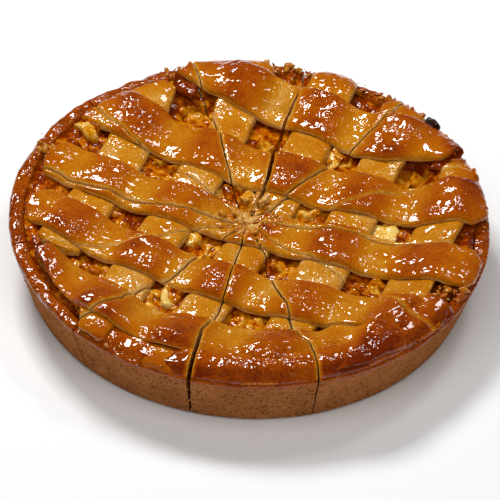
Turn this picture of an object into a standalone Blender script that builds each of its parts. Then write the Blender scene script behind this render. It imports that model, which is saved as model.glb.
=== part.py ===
"""Apple pie with a strip lattice, cut into twelve slices that still stand together.

Units are metres, +Z is up, and the origin is the centre of the underside. Each slice is
three pieces that really are separate: the crust (base and wall), the apple filling, and
the lattice of dough strips baked over it. A knife cut leaves its gap between slices.
"""

import functools
import math
import random
from collections import namedtuple

import bmesh
import bpy
from mathutils import Vector, noise

MM = 0.001

# Crust: a tapered wall on a flat base
RIM_RADIUS = 140 * MM
BASE_RADIUS = 129 * MM
WALL_HEIGHT = 38.4 * MM
WALL_THICKNESS = 9 * MM
BASE_THICKNESS = 6 * MM
FOOT_CHAMFER = 2 * MM
RIM_STEPS = 72

# Part of the rim stands free of the strips, as a raised roll
ROLL_FROM_DEG = 116
ROLL_TO_DEG = 219
ROLL_BLEND_DEG = 5
ROLL_RISE = 2.2 * MM
ROLL_TUCK = 0.4
RIM_CRAG = 1.1 * MM

# Filling: level in the middle, rising to the rim, pressed down where the cuts meet
FILLING_LEVEL = 30 * MM
CENTRE_DIP = ((0, -7 * MM), (12 * MM, -5 * MM), (26 * MM, -1.4 * MM), (45 * MM, 0))
FILLING_RISE_FROM = 103 * MM
FILLING_RISE_TO = 126 * MM
FILLING_STEPS = 36
REST_GAP = 0.3 * MM
LATTICE_GAP = 0.5 * MM

# Strips
STRIP_THICKNESS = 6 * MM
OVERLAP = 1 * MM
HUMP_FLAT = 5 * MM
HUMP_REACH = 21.5 * MM
HUMP_PUFF = 1 * MM
STRIP_RISE_FROM = 98 * MM
STRIP_RISE_TO = 121 * MM
STRIP_STEP = 9.5 * MM
STRIP_TRIM = 138.4 * MM
STRIP_TRIM_AT_ROLL = 129.3 * MM
EDGE_FALL_FROM = 127 * MM
EDGE_FALL = 2.6 * MM
STRIP_WOBBLE = 1.2 * MM
STRIP_CLEARANCE = 0.35 * MM
UNDER_SEED = 20
FOLD_SEED = 40
UNDER_DIRECTION_DEG = 69
PATH_PROBE = 0.5 * MM

# Upper strips run left to right through points x, y in millimetres, with their widths
OVER_STRIPS = (
    (31, ((-52, 141), (-20, 121), (10, 105), (40, 91), (70, 78), (100, 72), (136, 67))),
    (34, ((-104, 97), (-80, 84), (-50, 69), (-20, 56), (10, 44), (40, 34), (70, 26), (100, 20), (142, 15))),
    (31, ((-121, 43), (-90, 30), (-60, 18), (-30, 7), (0, -3), (40, -16), (80, -26), (110, -34), (142, -41))),
    (30, ((-128, 4), (-100, -13), (-70, -30), (-40, -44), (-10, -56), (20, -65), (50, -72), (80, -77), (104, -86), (126, -93))),
    (33, ((-127, -51), (-100, -68), (-70, -86), (-40, -100), (-10, -106), (20, -110), (50, -110), (84, -106))),
)
# Lower strips run front to back through points y, x
UNDER_STRIPS = (
    (25.5, ((-36, -112), (0, -96), (40, -81), (80, -69), (118, -60))),
    (25.5, ((-106, -88), (-60, -69), (-20, -53), (20, -38), (60, -24), (100, -12), (142, 1))),
    (25.5, ((-138, -51), (-90, -29), (-40, -8), (0, 7), (40, 22), (90, 38), (138, 51))),
    (25.5, ((-144, 5), (-90, 26), (-45, 42), (0, 57), (45, 72), (90, 86), (118, 94))),
    (25.5, ((-112, 74), (-70, 88), (-30, 100), (10, 113), (62, 130))),
)
# Dough folded over the front of the rim, torn thin along its left end
FOLD_FROM_DEG = 230
FOLD_TO_DEG = 329
FOLD_STEP_DEG = 4.5
FOLD_RADIUS = 128.7 * MM
FOLD_WIDTH = 19.5 * MM
FOLD_LIFT = 0.4 * MM
FOLD_TORN_SHARE = 0.45
FOLD_TORN_TO_DEG = 251
FOLD_WHOLE_FROM_DEG = 257
# Dough strip section: across (-1 to 1) and up (0 to 1), anticlockwise from the right edge
SECTION = ((1, 0.12), (1, 0.66), (0.8, 1), (0, 1.1), (-0.8, 1), (-1, 0.66), (-1, 0.12), (0, 0))

# Knife cuts, anticlockwise from the first one right of the front: direction in degrees and
# width in millimetres
CUTS = (
    (-72.1, 0.9),
    (-38.2, 0.7),
    (-9.0, 0.8),
    (21.2, 0.7),
    (50.2, 0.7),
    (77.7, 2.0),
    (106.8, 1.1),
    (135.9, 0.7),
    (165.6, 0.7),
    (196.4, 0.8),
    (228.2, 0.9),
    (258.5, 1.5),
)
CUTTER_REACH = 220 * MM
CUTTER_TOP = 80 * MM
SCRAP_VOLUME = 60 * MM**3
LATTICE_BODIES = 2

# Apple pieces that show in the openings of the lattice
CHUNKS_PER_OPENING = 2
CHUNK_SIZE = (8.5 * MM, 11.5 * MM)
CHUNK_SPREAD = 3.8 * MM
CHUNK_RISE = (1.2 * MM, 4.4 * MM)
CHUNK_LIMIT = 118 * MM
CENTRE_CLEAR = 22 * MM
CHUNK_SOFTENING = 1.4 * MM
NEXT_OVER = 50
NEXT_UNDER = 46
CHUNK_SEED = 12
# Larger apple pieces that lie open: x, y, sizes and height above the filling in
# millimetres, turn in degrees
OPEN_CHUNKS = (
    (79, -1, 17, 13, 9, 4.2, -18),
    (-45, -66, 5.5, 14, 8, 4.6, 20),
    (-51, -62, 9, 7, 7, 2.8, -30),
    (-99, 69, 7, 14, 9, 4.4, 35),
    (-113, 34, 9, 6, 7, 4.0, -50),
    (-20, -22, 12, 8, 8, 3.0, 10),
    (46, 62, 11, 12, 8, 3.2, 30),
    (-36, 96, 9, 14, 7, 1.5, 60),
)
OPEN_CHUNK_CLEAR = 15 * MM

# A raisin squeezed out beside a strip on the back right of the rim
RAISIN_AT = (105.5 * MM, 88.5 * MM)
RAISIN_SIZE = (5.5 * MM, 3.2 * MM, 3.0 * MM)
RAISIN_TURN_DEG = -48
RAISIN_LIFT = 1.4 * MM
RAISIN_NEST = 0.8 * MM


Strip = namedtuple("Strip", "kind path first last width seed rings")


def new_object(name, mesh, collection):
    """A named object for the mesh, linked to the collection."""
    made = bpy.data.objects.new(name, mesh)
    collection.objects.link(made)
    return made


def mesh_of(bm, name):
    """The bmesh as a mesh of flat triangles that point out, as clean Booleans need."""
    bmesh.ops.recalc_face_normals(bm, faces=bm.faces)
    bmesh.ops.triangulate(bm, faces=bm.faces)
    mesh = bpy.data.meshes.new(name)
    bm.to_mesh(mesh)
    bm.free()
    return mesh


def material(name, colour, roughness):
    """A plain material: food is never metallic."""
    made = bpy.data.materials.new(name)
    made.use_nodes = True
    shader = made.node_tree.nodes["Principled BSDF"]
    shader.inputs["Base Color"].default_value = (*colour, 1)
    shader.inputs["Roughness"].default_value = roughness
    shader.inputs["Metallic"].default_value = 0
    made.diffuse_color = (*colour, 1)
    return made


def apply_modifiers(obj):
    """Turns the object's modifiers into its mesh."""
    graph = bpy.context.evaluated_depsgraph_get()
    mesh = bpy.data.meshes.new_from_object(obj.evaluated_get(graph))
    obj.modifiers.clear()
    obj.data = mesh


def boolean(obj, operation, cutter):
    """Applies one Boolean between two closed meshes of flat triangles."""
    step = obj.modifiers.new(operation.lower(), "BOOLEAN")
    step.operation = operation
    step.solver = "EXACT"
    step.object = cutter
    apply_modifiers(obj)


def join_all(obj, group):
    """Joins an object with each object of a collection, and removes those."""
    for other in list(group.objects):
        boolean(obj, "UNION", other)
        bpy.data.objects.remove(other)
    bpy.data.collections.remove(group)


def blend(value, start, end):
    """0 before start, 1 after end, smooth between."""
    share = min(1, max(0, (value - start) / (end - start)))
    return share * share * (3 - 2 * share)


def ramp(value, start, end):
    """0 before start, 1 after end, straight between."""
    return min(1, max(0, (value - start) / (end - start)))


def centre_dip(radius):
    """How far the top is pressed down near the middle, where twelve cuts meet."""
    for (near, low), (far, high) in zip(CENTRE_DIP, CENTRE_DIP[1:]):
        if radius <= far:
            return low + (high - low) * (radius - near) / (far - near)
    return 0


def smooth_path(points, along):
    """The second coordinate of a smooth curve through points, at a value of the first."""
    last = len(points) - 1
    part = sum(along > point[0] for point in points[1:last])
    (x0, y0), (x1, y1) = points[part], points[part + 1]
    before, after = points[max(part - 1, 0)], points[min(part + 2, last)]
    start_slope = (y1 - before[1]) / (x1 - before[0])
    end_slope = (after[1] - y0) / (after[0] - x0)
    span = x1 - x0
    t = (along - x0) / span
    if t < 0:
        return y0 + start_slope * (along - x0)
    if t > 1:
        return y1 + end_slope * (along - x1)
    straight = y0 + (y1 - y0) * t
    bow = t * (1 - t) * ((1 - t) * (start_slope * span - (y1 - y0)) - t * (end_slope * span - (y1 - y0)))
    return straight + bow


def over_line(row, x):
    """y of upper strip number row at x. One row outside the last stands for the edge."""
    nearest = min(max(row, 0), len(OVER_STRIPS) - 1)
    return (smooth_path(OVER_STRIPS[nearest][1], x / MM) + (nearest - row) * NEXT_OVER) * MM


def under_line(column, y):
    """x of lower strip number column at y. One column outside the last is the edge."""
    nearest = min(max(column, 0), len(UNDER_STRIPS) - 1)
    return (smooth_path(UNDER_STRIPS[nearest][1], y / MM) + (column - nearest) * NEXT_UNDER) * MM


def over_path(row, x):
    """The point of an upper strip's centre line at x."""
    return Vector((x, over_line(row, x)))


def under_path(column, y):
    """The point of a lower strip's centre line at y."""
    return Vector((under_line(column, y), y))


def fold_path(angle):
    """The middle of the dough folded over the rim, at an angle."""
    return Vector((math.cos(angle), math.sin(angle))) * FOLD_RADIUS


def hump(x, y):
    """1 where an upper strip rides over a lower one, 0 where it sags into an opening."""
    near = min(abs(x - under_line(c, y)) for c in range(len(UNDER_STRIPS)))
    across = near * math.sin(math.radians(UNDER_DIRECTION_DEG))
    return 1 - blend(across, HUMP_FLAT, HUMP_REACH)


def at_roll(angle_deg, margin_deg=0):
    """1 along the stretch of rim that stands free of the strips, widened by a margin, else 0."""
    angle = angle_deg % 360
    first, last = ROLL_FROM_DEG - margin_deg, ROLL_TO_DEG + margin_deg
    begins = blend(angle, first - ROLL_BLEND_DEG, first)
    return begins - blend(angle, last, last + ROLL_BLEND_DEG)


def strip_floor(place):
    """The height that a strip lies on: the filling, then the rim, but lower inside the roll."""
    radius = place.length
    rise = WALL_HEIGHT + LATTICE_GAP - FILLING_LEVEL
    rise *= 1 - ROLL_TUCK * at_roll(math.degrees(math.atan2(place.y, place.x)))
    return FILLING_LEVEL + centre_dip(radius) + rise * ramp(radius, STRIP_RISE_FROM, STRIP_RISE_TO)


def filling_top(radius):
    """The height of the filling under the strips."""
    rise = WALL_HEIGHT - FILLING_LEVEL
    level = FILLING_LEVEL + centre_dip(radius) - LATTICE_GAP
    return level + rise * ramp(radius, FILLING_RISE_FROM, FILLING_RISE_TO)


def inner_radius(height):
    """Radius of the wall's inner face at a height."""
    taper = (RIM_RADIUS - BASE_RADIUS) * height / WALL_HEIGHT
    return BASE_RADIUS + taper - WALL_THICKNESS


def turned(name, profile, steps, collection):
    """A closed solid turned round Z from points (radius, height), top of the axis first."""
    mesh = bpy.data.meshes.new(name)
    points = [(radius, 0, height) for radius, height in profile]
    mesh.from_pydata(points, [(i, i + 1) for i in range(len(points) - 1)], [])
    made = new_object(name, mesh, collection)
    screw = made.modifiers.new("turn", "SCREW")
    screw.steps = screw.render_steps = steps
    screw.use_merge_vertices = True
    screw.merge_threshold = 0.01 * MM
    apply_modifiers(made)
    return made


def make_crust(collection):
    """Base and wall as one turned shell, with a cragged rim and its raised roll."""
    floor = BASE_THICKNESS
    bead = 2.4 * MM
    profile = (
        (0, floor),
        (inner_radius(floor) - 2 * MM, floor),
        (inner_radius(floor + 3 * MM), floor + 3 * MM),
        (inner_radius(WALL_HEIGHT), WALL_HEIGHT - 1.5 * MM),
        (inner_radius(WALL_HEIGHT) + bead, WALL_HEIGHT),
        (RIM_RADIUS - bead, WALL_HEIGHT),
        (RIM_RADIUS, WALL_HEIGHT - 1.2 * MM),
        (BASE_RADIUS + FOOT_CHAMFER / 4, FOOT_CHAMFER),
        (BASE_RADIUS - FOOT_CHAMFER, 0),
        (0, 0),
    )
    crust = turned("crust_whole", profile, RIM_STEPS, collection)
    for vertex in crust.data.vertices:
        x, y, z = vertex.co
        if z < WALL_HEIGHT - 1.3 * MM:
            continue
        angle = math.degrees(math.atan2(y, x))
        crag = noise.noise(Vector((x, y, z)) / (7 * MM))
        vertex.co.z += at_roll(angle) * (ROLL_RISE + RIM_CRAG * crag)
        vertex.co.z -= RIM_CRAG * abs(crag)
        if math.hypot(x, y) > RIM_RADIUS - bead - 0.1 * MM:
            outward = 1 + 0.5 * RIM_CRAG * crag / RIM_RADIUS
            vertex.co.x *= outward
            vertex.co.y *= outward
    crust.modifiers.new("flat faces", "TRIANGULATE")
    apply_modifiers(crust)
    return crust


def openings():
    """Centre of each opening between strips that the filling shows through."""
    for row in range(-1, len(OVER_STRIPS)):
        for column in range(-1, len(UNDER_STRIPS)):
            x = y = 0
            for _ in range(12):
                y = (over_line(row, x) + over_line(row + 1, x)) / 2
                x = (under_line(column, y) + under_line(column + 1, y)) / 2
            if CENTRE_CLEAR < math.hypot(x, y) < CHUNK_LIMIT:
                yield x, y


def apple_chunk(x, y, size, rise, turn, collection):
    """One softened dice of apple, half sunk in the filling."""
    bm = bmesh.new()
    bmesh.ops.create_cube(bm, size=1)
    bmesh.ops.scale(bm, vec=size, verts=bm.verts)
    bmesh.ops.bevel(
        bm, geom=bm.edges, offset=CHUNK_SOFTENING, segments=1, profile=0.5, affect="EDGES", material=-1
    )
    made = new_object("chunk", mesh_of(bm, "chunk"), collection)
    made.location = (x, y, filling_top(math.hypot(x, y)) + rise - size[2] / 2)
    made.rotation_euler = turn


def add_chunks(collection):
    """The larger apple pieces that lie open, and smaller ones in the other openings."""
    for x, y, long, wide, deep, rise, turn_deg in OPEN_CHUNKS:
        size = (long * MM, wide * MM, deep * MM)
        turn = (0.08, -0.1, math.radians(turn_deg))
        apple_chunk(x * MM, y * MM, size, rise * MM, turn, collection)
    draw = random.Random(CHUNK_SEED)
    for centre in openings():
        taken = any(math.dist(centre, (c[0] * MM, c[1] * MM)) < OPEN_CHUNK_CLEAR for c in OPEN_CHUNKS)
        for _ in range(0 if taken else CHUNKS_PER_OPENING):
            size = [draw.uniform(*CHUNK_SIZE) for _ in range(3)]
            x = centre[0] + draw.uniform(-CHUNK_SPREAD, CHUNK_SPREAD)
            y = centre[1] + draw.uniform(-CHUNK_SPREAD, CHUNK_SPREAD)
            turn = (draw.uniform(-0.3, 0.3), draw.uniform(-0.3, 0.3), draw.uniform(0, 3.1))
            apple_chunk(x, y, size, draw.uniform(*CHUNK_RISE), turn, collection)


def make_filling(collection):
    """The filling as one solid: a turned core with apple pieces joined on in the openings."""
    floor = BASE_THICKNESS + REST_GAP
    knee = floor + 3 * MM
    edge_height = filling_top(FILLING_RISE_TO)
    radii = [r for r, _ in CENTRE_DIP] + [75 * MM, FILLING_RISE_FROM, FILLING_RISE_TO]
    profile = [(radius, filling_top(radius)) for radius in radii]
    profile += [
        (inner_radius(edge_height) - REST_GAP, edge_height - 1.6 * MM),
        (inner_radius(knee) - REST_GAP, knee),
        (inner_radius(floor) - 2.5 * MM, floor),
        (0, floor),
    ]
    filling = turned("filling_whole", profile, FILLING_STEPS, collection)
    chunks = bpy.data.collections.new("apple chunks")
    bpy.context.scene.collection.children.link(chunks)
    add_chunks(chunks)
    join_all(filling, chunks)
    room = fused_strips(STRIP_CLEARANCE, collection)
    boolean(filling, "DIFFERENCE", room)
    bpy.data.objects.remove(room)
    return filling


def strip_point(strip, along, across, up, grown):
    """Where a point of a strip's section lies, with the strip's sag, humps and wobble."""
    centre = strip.path(along)
    direction = (strip.path(along + PATH_PROBE) - centre).normalized()
    side = Vector((-direction.y, direction.x))
    if strip.kind != "fold":
        centre += side * STRIP_WOBBLE * noise.noise(Vector((centre.length / (38 * MM), strip.seed, 0)))
    wider = 1 + 0.06 * noise.noise(Vector((centre.length / (26 * MM), strip.seed, 5)))
    place = centre + side * across * (wider * strip.width / 2 + grown)
    height = strip_floor(place)
    share = 1
    if strip.kind == "fold":
        height += FOLD_LIFT
        whole = ramp(math.degrees(along), FOLD_TORN_TO_DEG, FOLD_WHOLE_FROM_DEG)
        share = FOLD_TORN_SHARE + (1 - FOLD_TORN_SHARE) * whole
    if strip.kind == "over":
        raised = hump(place.x, place.y)
        height += raised * (STRIP_THICKNESS - OVERLAP + (HUMP_PUFF if up > 0.5 else 0))
    height += share * up * STRIP_THICKNESS
    if up > 0.3:
        height -= share * EDGE_FALL * ramp(place.length, EDGE_FALL_FROM, STRIP_TRIM) ** 2
        height += 0.4 * MM * noise.noise(Vector((place.x, place.y, strip.seed * MM)) / (14 * MM))
    height += grown if up > 0.3 else -grown
    return Vector((place.x, place.y, height))


def make_strip(strip, grown, collection):
    """One strip of dough: an eight-sided bar, ringed along its length and laid on its path."""
    bm = bmesh.new()
    bmesh.ops.create_cone(
        bm, cap_ends=True, segments=len(SECTION), radius1=1, radius2=1, depth=1
    )
    sides = [e for e in bm.edges if abs(e.verts[0].co.z - e.verts[1].co.z) > 0.5]
    bmesh.ops.subdivide_edges(bm, edges=sides, cuts=strip.rings - 1)
    for vertex in bm.verts:
        turn = math.atan2(vertex.co.y, vertex.co.x) / math.tau
        across, up = SECTION[round(turn * len(SECTION)) % len(SECTION)]
        along = strip.first + (strip.last - strip.first) * (vertex.co.z + 0.5)
        vertex.co = strip_point(strip, along, across, up, grown)
    return new_object("strip", mesh_of(bm, "strip"), collection)


def all_strips():
    """The upper strips, the lower strips and the folded rim, as plans to build from."""
    plans = [("over", over_path, row, *plan) for row, plan in enumerate(OVER_STRIPS)]
    plans += [("under", under_path, column, *plan) for column, plan in enumerate(UNDER_STRIPS)]
    for kind, path, number, width, points in plans:
        first, last = points[0][0] * MM, points[-1][0] * MM
        rings = round((last - first) / STRIP_STEP)
        seed = number + (UNDER_SEED if kind == "under" else 0)
        yield Strip(kind, functools.partial(path, number), first, last, width * MM, seed, rings)
    first, last = math.radians(FOLD_FROM_DEG), math.radians(FOLD_TO_DEG)
    rings = round((FOLD_TO_DEG - FOLD_FROM_DEG) / FOLD_STEP_DEG)
    yield Strip("fold", fold_path, first, last, FOLD_WIDTH, FOLD_SEED, rings)


def fused_strips(grown, collection):
    """Every strip joined as they bake together, each grown on all sides by a margin."""
    group = bpy.data.collections.new("strips")
    bpy.context.scene.collection.children.link(group)
    for strip in all_strips():
        make_strip(strip, grown, group)
    fused = group.objects[0]
    group.objects.unlink(fused)
    collection.objects.link(fused)
    join_all(fused, group)
    return fused


def trim_outline(collection):
    """The round outline that the strips are pressed and trimmed to."""
    bm = bmesh.new()
    bmesh.ops.create_cone(
        bm, cap_ends=True, segments=RIM_STEPS, radius1=1, radius2=1, depth=CUTTER_TOP
    )
    bmesh.ops.translate(bm, vec=(0, 0, CUTTER_TOP / 2 + BASE_THICKNESS), verts=bm.verts)
    for vertex in bm.verts:
        angle = math.degrees(math.atan2(vertex.co.y, vertex.co.x))
        inward = at_roll(angle, ROLL_BLEND_DEG)
        radius = STRIP_TRIM + inward * (STRIP_TRIM_AT_ROLL - STRIP_TRIM)
        vertex.co.x *= radius
        vertex.co.y *= radius
    return new_object("trim_outline", mesh_of(bm, "trim_outline"), collection)


def make_lattice(collection, cutters):
    """The fused strips, trimmed to the rim and hollowed where the raisin sits."""
    lattice = fused_strips(0, collection)
    boolean(lattice, "INTERSECT", trim_outline(cutters))
    boolean(lattice, "DIFFERENCE", raisin_ball("raisin_nest", RAISIN_NEST, cutters))
    return lattice


def cut_line(cut, side):
    """A point and direction of one face of a knife cut: side 1 is its anticlockwise face."""
    angle, width = cut
    direction = Vector((math.cos(math.radians(angle)), math.sin(math.radians(angle))))
    offset = Vector((-direction.y, direction.x)) * side * width * MM / 2
    return offset, direction


def wedge_cutter(name, right_cut, left_cut, collection):
    """The space of one slice between the facing sides of two knife cuts."""
    right, along_right = cut_line(right_cut, 1)
    left, along_left = cut_line(left_cut, -1)
    gap = left - right
    cross = along_right.x * along_left.y - along_right.y * along_left.x
    tip = right + along_right * (gap.x * along_left.y - gap.y * along_left.x) / cross
    middle = (along_right + along_left).normalized()
    outline = (
        tip,
        right + along_right * CUTTER_REACH,
        middle * CUTTER_REACH * 1.1,
        left + along_left * CUTTER_REACH,
    )
    bm = bmesh.new()
    corners = [bm.verts.new((p.x, p.y, -10 * MM)) for p in outline]
    base = bm.faces.new(corners)
    raised = bmesh.ops.extrude_face_region(bm, geom=[base])["geom"]
    top = [v for v in raised if isinstance(v, bmesh.types.BMVert)]
    bmesh.ops.translate(bm, vec=(0, 0, CUTTER_TOP + 10 * MM), verts=top)
    return new_object(name, mesh_of(bm, name), collection)


def loose_pieces(obj):
    """The separate bodies of an object's mesh as bmeshes, largest first, without scraps."""
    bm = bmesh.new()
    bm.from_mesh(obj.data)
    bm.verts.ensure_lookup_table()
    seen, found = set(), []
    for start in bm.verts:
        if start.index in seen:
            continue
        body, waiting = {start.index}, [start]
        while waiting:
            for edge in waiting.pop().link_edges:
                for vertex in edge.verts:
                    if vertex.index not in body:
                        body.add(vertex.index)
                        waiting.append(vertex)
        seen |= body
        piece = bm.copy()
        piece.verts.ensure_lookup_table()
        others = [v for v in piece.verts if v.index not in body]
        bmesh.ops.delete(piece, geom=others, context="VERTS")
        if piece.calc_volume() > SCRAP_VOLUME:
            found.append(piece)
        else:
            piece.free()
    bm.free()
    return sorted(found, key=lambda piece: -piece.calc_volume())


def cut_slice(whole, wedge, name, most, finish, collection):
    """What the wedge leaves of a whole layer, one object for each body up to a number."""
    part = new_object(name + "_cut", whole.data.copy(), collection)
    boolean(part, "INTERSECT", wedge)
    for index, piece in enumerate(loose_pieces(part)[:most]):
        own_name = name if index == 0 else name + "_tip"
        made = new_object(own_name, mesh_of(piece, own_name), collection)
        made.data.materials.append(finish)
    bpy.data.objects.remove(part)


def raisin_ball(name, grown, collection):
    """A plump raisin as a wrinkled ball, its half sizes grown by a margin."""
    bm = bmesh.new()
    bmesh.ops.create_icosphere(bm, subdivisions=2, radius=1)
    for vertex in bm.verts:
        vertex.co *= 1 + 0.22 * noise.noise(vertex.co * 2.2)
    bmesh.ops.scale(bm, vec=[half + grown for half in RAISIN_SIZE], verts=bm.verts)
    raisin = new_object(name, mesh_of(bm, name), collection)
    raisin.location = (*RAISIN_AT, WALL_HEIGHT + RAISIN_SIZE[2] + RAISIN_LIFT)
    raisin.rotation_euler.z = math.radians(RAISIN_TURN_DEG)
    return raisin


def main():
    for obj in list(bpy.data.objects):
        bpy.data.objects.remove(obj)
    pie = bpy.data.collections.new("apple pie")
    cutters = bpy.data.collections.new("cutters")
    for collection in (pie, cutters):
        bpy.context.scene.collection.children.link(collection)
    crust_brown = material("crust", (0.30, 0.14, 0.06), 0.75)
    glazed = material("glazed lattice", (0.52, 0.20, 0.03), 0.25)
    apple = material("apple filling", (0.50, 0.22, 0.03), 0.35)
    dried = material("raisin", (0.03, 0.012, 0.008), 0.3)
    crust = make_crust(pie)
    filling = make_filling(pie)
    lattice = make_lattice(pie, cutters)
    for number, right_cut in enumerate(CUTS, start=1):
        left_cut = CUTS[number % len(CUTS)]
        left_cut = (left_cut[0] + (360 if left_cut[0] < right_cut[0] else 0), left_cut[1])
        wedge = wedge_cutter(f"wedge_{number:02d}", right_cut, left_cut, cutters)
        for whole, layer, most, finish in (
            (crust, "crust", 1, crust_brown),
            (filling, "filling", 1, apple),
            (lattice, "lattice", LATTICE_BODIES, glazed),
        ):
            cut_slice(whole, wedge, f"slice_{number:02d}_{layer}", most, finish, pie)
    for whole in (crust, filling, lattice):
        bpy.data.objects.remove(whole)
    raisin_ball("raisin", 0, pie).data.materials.append(dried)
    for cutter in cutters.objects:
        cutter.hide_render = True
        cutter.display_type = "WIRE"


main()
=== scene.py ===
# %% [markdown]
# # A sliced apple pie with a basket-weave top
# The real pie is baked in a shallow tin: a shortcrust case, a thick apple filling, and strips
# of dough laid over it in two directions and glazed. It was cut into twelve and left
# standing whole. The solids of each slice are already there, so this lesson gives every
# slice its finely shaped crust, filling and strips, in the same place and size.

# %% Load the solids
import math

import bmesh
import bpy
import numpy as np
from mathutils import Matrix, Vector


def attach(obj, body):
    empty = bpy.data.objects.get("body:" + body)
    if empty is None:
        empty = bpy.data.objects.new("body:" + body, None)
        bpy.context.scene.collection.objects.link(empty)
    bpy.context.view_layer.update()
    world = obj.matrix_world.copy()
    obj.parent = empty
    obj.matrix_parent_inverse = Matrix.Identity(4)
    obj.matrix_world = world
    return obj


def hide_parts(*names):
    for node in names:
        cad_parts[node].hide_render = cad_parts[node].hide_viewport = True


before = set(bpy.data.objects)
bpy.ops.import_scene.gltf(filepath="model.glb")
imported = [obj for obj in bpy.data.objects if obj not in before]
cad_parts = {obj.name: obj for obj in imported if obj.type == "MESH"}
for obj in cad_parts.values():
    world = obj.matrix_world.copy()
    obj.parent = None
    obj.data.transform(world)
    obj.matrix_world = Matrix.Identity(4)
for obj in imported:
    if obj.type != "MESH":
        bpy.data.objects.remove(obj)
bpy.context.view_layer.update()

MM = 0.001
print("slices", sum(name.endswith("_crust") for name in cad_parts))

# %% [markdown]
# ## The camera
# The photo looks down at 42 degrees from the front with a long lens, and the camera is
# turned by three degrees. Its place and its three directions were worked out from where
# the rim and the foot of the wall lie in the photo.

# %% Set the camera
LENS = 273.0
SENSOR = 36.0
VIEW_REACH = 20.0
CAMERA_PLACE = (0.00133, -1.64889, 1.50064)
CAMERA_RIGHT = Vector((0.998393, 0.037967, 0.042076))
CAMERA_UP = Vector((-0.056674, 0.668851, 0.741233))
CAMERA_AHEAD = Vector((0.0, 0.742426, -0.669928))


def link(obj):
    """Puts an object in the scene."""
    bpy.context.scene.collection.objects.link(obj)
    return obj


camera_data = bpy.data.cameras.new("photo_camera")
camera_data.lens = LENS
camera_data.sensor_width = SENSOR
camera_data.clip_end = VIEW_REACH
photo_camera = link(bpy.data.objects.new("photo_camera", camera_data))
turn = Matrix((CAMERA_RIGHT, CAMERA_UP, -CAMERA_AHEAD)).transposed().to_4x4()
photo_camera.matrix_world = Matrix.Translation(CAMERA_PLACE) @ turn
bpy.context.scene.camera = photo_camera
print("camera is", round(photo_camera.location.length, 2), "m away")


# %% [markdown]
# ## The floor
# The pie stands on a white studio floor, a flat sheet so wide that no edge of it shows. It
# lies a hair below the pie, so the two never share a plane.

# %% Lay the floor
FLOOR_REACH = 6
FLOOR_DROP = 0.4 * MM
FLOOR_WHITE = (0.86, 0.86, 0.86, 1)
floor_bm = bmesh.new()
bmesh.ops.create_grid(floor_bm, x_segments=1, y_segments=1, size=FLOOR_REACH)
floor_mesh = bpy.data.meshes.new("floor")
floor_bm.to_mesh(floor_mesh)
floor_bm.free()
floor = link(bpy.data.objects.new("floor", floor_mesh))
floor.location.z = -FLOOR_DROP
floor_white = bpy.data.materials.new("studio_white")
floor_white.use_nodes = True
floor_shader = floor_white.node_tree.nodes["Principled BSDF"]
floor_shader.inputs["Base Color"].default_value = FLOOR_WHITE
floor_shader.inputs["Roughness"].default_value = 0.8
floor_mesh.materials.append(floor_white)
print("floor is", 2 * FLOOR_REACH, "m wide")


# %% [markdown]
# ## The lights
# Two small strong lights hang behind the pie, and their mirror images are the white spots
# on the glaze. A large dim light in front fills the shadows, and a low one at the right
# brightens the wall. Those two are kept out of reflections, because a wide light would lay
# a milky veil on the glaze.

# %% Hang the lights
ROOM_LIGHT = 0.06
AIM = Vector((0, 0, 0.02))
# Name, place and size in metres, power in watts, and whether the glaze mirrors it.
LIGHTS = (
    ("behind_left", (-0.5, 0.8, 1.3), (0.5, 0.36), 20, True),
    ("behind_right", (0.5, 0.7, 1.35), (0.26, 0.26), 3.4, True),
    ("front_fill", (-0.1, -1.0, 1.9), (2.6, 1.8), 27, False),
    ("low_right", (0.9, -1.3, 0.4), (0.7, 0.5), 3, False),
)


def hang_light(name, place, size, power, mirrored):
    """A flat light that faces the pie, seen in reflections only where it is mirrored."""
    data = bpy.data.lights.new(name, "AREA")
    data.shape = "RECTANGLE"
    data.size, data.size_y = size
    data.energy = power
    lamp = link(bpy.data.objects.new(name, data))
    lamp.location = place
    lamp.rotation_euler = (AIM - Vector(place)).to_track_quat("-Z", "Y").to_euler()
    lamp.visible_glossy = mirrored


world = bpy.data.worlds.new("studio")
world.use_nodes = True
world.node_tree.nodes["Background"].inputs["Color"].default_value = (1, 1, 1, 1)
world.node_tree.nodes["Background"].inputs["Strength"].default_value = ROOM_LIGHT
bpy.context.scene.world = world
for light in LIGHTS:
    hang_light(*light)
bpy.context.scene.view_settings.view_transform = "Standard"
print("lights", [name for name, *_ in LIGHTS])

# %% [markdown]
# ## The sizes of the pie
# The tin was 28 cm across, and the wall leans out a little as tins do. The wall is 38 mm
# high. The filling stands lower inside and rises to the rim, and the top is pressed down
# in the middle, where every knife cut ends.

# %% Name the sizes
RIM_RADIUS = 140 * MM
BASE_RADIUS = 129 * MM
WALL_HEIGHT = 38.4 * MM
WALL_THICKNESS = 9 * MM
BASE_THICKNESS = 6 * MM
FILLING_LEVEL = 30 * MM
SLICES = 12
# How far the top is pressed down at a few radii, in millimetres.
CENTRE_DIP = ((0, -7), (12, -5), (26, -1.4), (45, 0), (200, 0))
STRIP_THICKNESS = 6 * MM
# Where the free roll starts and ends, and how softly, in degrees.
ROLL = (116, 219, 5)
ROLL_RISE = 2.2 * MM
TRIM, TRIM_AT_ROLL = 138.8 * MM, 129.3 * MM


def smooth_step(value, start, end):
    """0 before start, 1 after end, smooth between."""
    share = np.clip((value - start) / (end - start), 0, 1)
    return share * share * (3 - 2 * share)


def straight_step(value, start, end):
    """0 before start, 1 after end, straight between."""
    return np.clip((value - start) / (end - start), 0, 1)


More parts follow.
